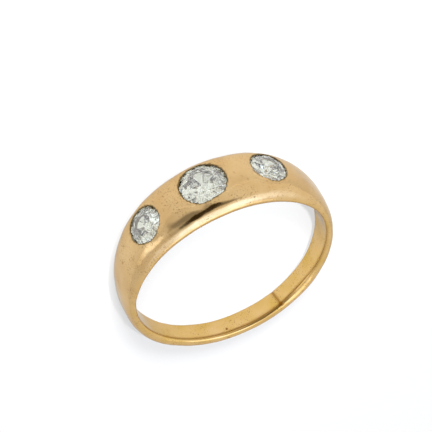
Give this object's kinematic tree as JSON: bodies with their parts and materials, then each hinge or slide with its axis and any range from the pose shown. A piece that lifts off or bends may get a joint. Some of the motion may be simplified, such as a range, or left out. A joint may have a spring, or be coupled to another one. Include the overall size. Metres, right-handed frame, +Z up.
{
  "type": "three stone ring",
  "caption": "Domed, tapered gold finger ring with a larger round old-cut diamond between smaller ones, set flush in its head; lies on its side.",
  "frame": {"origin": "middle of the ring's outline seen from above, on the surface that it lies on", "axes": "+Z up from that surface; the head and its stones face -Y; the finger hole's axis leans 5 degrees from +Z towards +Y, because the head is wider than the shank"},
  "size_m": [0.0194, 0.0209, 0.0056],
  "materials": {
    "gold": "worn satin polish",
    "diamond": "cut and polished"
  },
  "bodies": {
    "root": {"band": "gold", "middle_stone": "diamond", "left_stone": "diamond", "right_stone": "diamond"}
  },
  "joints": []
}
